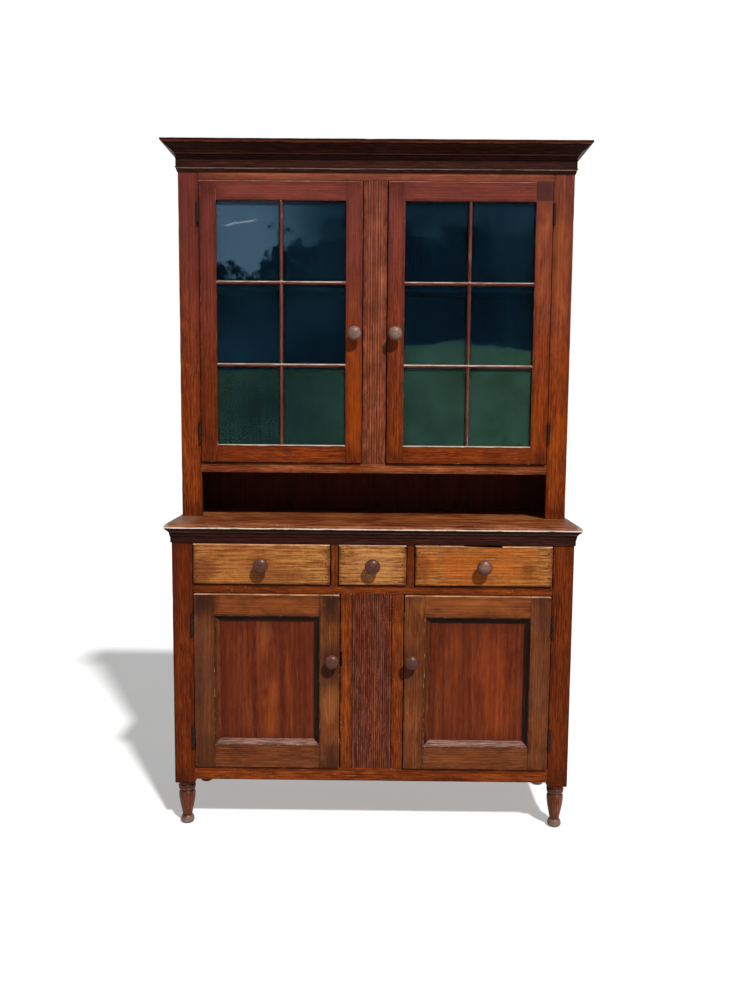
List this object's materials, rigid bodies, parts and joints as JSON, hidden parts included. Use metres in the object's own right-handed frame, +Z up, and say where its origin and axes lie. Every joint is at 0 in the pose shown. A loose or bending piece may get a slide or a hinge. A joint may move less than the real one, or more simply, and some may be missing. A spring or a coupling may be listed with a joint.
{
  "type": "step back cupboard",
  "caption": "Wooden cupboard in two tiers: a glazed upper case with cornice and open recess, set back on a lower case with drawers, panelled doors and turned feet.",
  "frame": {"origin": "on the floor, under the centre of the overall box", "axes": "+Z up, -Y out of the front, +X to the right of someone facing the front"},
  "size_m": [1.272, 0.417, 2.05],
  "materials": {
    "case_wood": "aged stain and varnish",
    "counter_wood": "worn varnish",
    "dark_interior": "dark stain",
    "dark_moulding": "dark stain, satin",
    "drawer_front_wood": "worn varnish",
    "hinge_iron": "dark, lightly rusted",
    "inside_pine": "bare, aged",
    "knob_wood": "handled, polished by use",
    "panel_wood": "aged stain and varnish",
    "reeded_wood": "aged stain",
    "window_glass": "clear old sheet glass",
    "worn_door_wood": "worn stain"
  },
  "bodies": {
    "case": {"bottom_rail": "case_wood", "case_hinge_leaves": "hinge_iron", "centre_stiles": "case_wood", "cornice_bed": "dark_moulding", "cornice_crown": "dark_moulding", "counter_moulding": "dark_moulding", "counter_rail": "case_wood", "counter_top": "counter_wood", "drawer_dividers": "case_wood", "drawer_kickers": "inside_pine", "drawer_rail": "case_wood", "drawer_runners": "inside_pine", "front_post_left": "case_wood", "front_post_right": "case_wood", "lower_back_boards": "inside_pine", "lower_floor": "inside_pine", "lower_shelf": "inside_pine", "rear_posts": "case_wood", "reeded_panel": "reeded_wood", "reeded_stile": "reeded_wood", "side_panels": "case_wood", "side_rails": "case_wood", "upper_back_boards": "dark_interior", "upper_bottom_rail": "case_wood", "upper_corner_stiles": "case_wood", "upper_floor": "dark_interior", "upper_shelves": "dark_interior", "upper_side_left": "case_wood", "upper_side_right": "case_wood", "upper_top_board": "inside_pine", "upper_top_rail": "case_wood"},
    "lower_left_door": {"lower_left_door_frame": "worn_door_wood", "lower_left_door_hinge_leaves": "hinge_iron", "lower_left_door_moulding": "worn_door_wood", "lower_left_door_panel": "panel_wood"},
    "lower_left_catch": {"lower_left_door_knob": "knob_wood"},
    "lower_right_door": {"lower_right_door_frame": "worn_door_wood", "lower_right_door_hinge_leaves": "hinge_iron", "lower_right_door_moulding": "worn_door_wood", "lower_right_door_panel": "panel_wood"},
    "lower_right_catch": {"lower_right_door_knob": "knob_wood"},
    "upper_left_door": {"upper_left_door_frame": "case_wood", "upper_left_door_hinge_leaves": "hinge_iron", "upper_left_door_muntins": "case_wood", "upper_left_door_panes": "window_glass"},
    "upper_left_catch": {"upper_left_door_knob": "knob_wood"},
    "upper_right_door": {"upper_right_door_frame": "case_wood", "upper_right_door_hinge_leaves": "hinge_iron", "upper_right_door_muntins": "case_wood", "upper_right_door_panes": "window_glass"},
    "upper_right_catch": {"upper_right_door_knob": "knob_wood"},
    "left_drawer": {"left_drawer_box": "inside_pine", "left_drawer_front": "drawer_front_wood", "left_drawer_knob": "knob_wood"},
    "middle_drawer": {"middle_drawer_box": "inside_pine", "middle_drawer_front": "drawer_front_wood", "middle_drawer_knob": "knob_wood"},
    "right_drawer": {"right_drawer_box": "inside_pine", "right_drawer_front": "drawer_front_wood", "right_drawer_knob": "knob_wood"}
  },
  "joints": [
    {"name": "lower_left_door_hinge", "type": "hinge", "parent": "case", "child": "lower_left_door", "pos_m": [-0.5325, -0.169, 0.4535], "axis": [0, 0, -1], "range_deg": [0, 170]},
    {"name": "lower_left_catch_turn", "type": "hinge", "parent": "lower_left_door", "child": "lower_left_catch", "pos_m": [-0.1175, -0.1635, 0.522], "axis": [0, -1, 0], "range_deg": [0, 90]},
    {"name": "lower_right_door_hinge", "type": "hinge", "parent": "case", "child": "lower_right_door", "pos_m": [0.5325, -0.169, 0.4535], "axis": [0, 0, 1], "range_deg": [0, 170]},
    {"name": "lower_right_catch_turn", "type": "hinge", "parent": "lower_right_door", "child": "lower_right_catch", "pos_m": [0.1175, -0.1635, 0.522], "axis": [0, 1, 0], "range_deg": [0, 90]},
    {"name": "upper_left_door_hinge", "type": "hinge", "parent": "case", "child": "upper_left_door", "pos_m": [-0.5325, -0.013, 1.518], "axis": [0, 0, -1], "range_deg": [0, 170]},
    {"name": "upper_left_catch_turn", "type": "hinge", "parent": "upper_left_door", "child": "upper_left_catch", "pos_m": [-0.0615, -0.0075, 1.49], "axis": [0, -1, 0], "range_deg": [0, 90]},
    {"name": "upper_right_door_hinge", "type": "hinge", "parent": "case", "child": "upper_right_door", "pos_m": [0.5325, -0.013, 1.518], "axis": [0, 0, 1], "range_deg": [0, 170]},
    {"name": "upper_right_catch_turn", "type": "hinge", "parent": "upper_right_door", "child": "upper_right_catch", "pos_m": [0.0615, -0.0075, 1.49], "axis": [0, 1, 0], "range_deg": [0, 90]},
    {"name": "left_drawer_slide", "type": "slide", "parent": "case", "child": "left_drawer", "axis": [0, -1, 0], "range_m": [0, 0.24]},
    {"name": "middle_drawer_slide", "type": "slide", "parent": "case", "child": "middle_drawer", "axis": [0, -1, 0], "range_m": [0, 0.24]},
    {"name": "right_drawer_slide", "type": "slide", "parent": "case", "child": "right_drawer", "axis": [0, -1, 0], "range_m": [0, 0.24]}
  ]
}
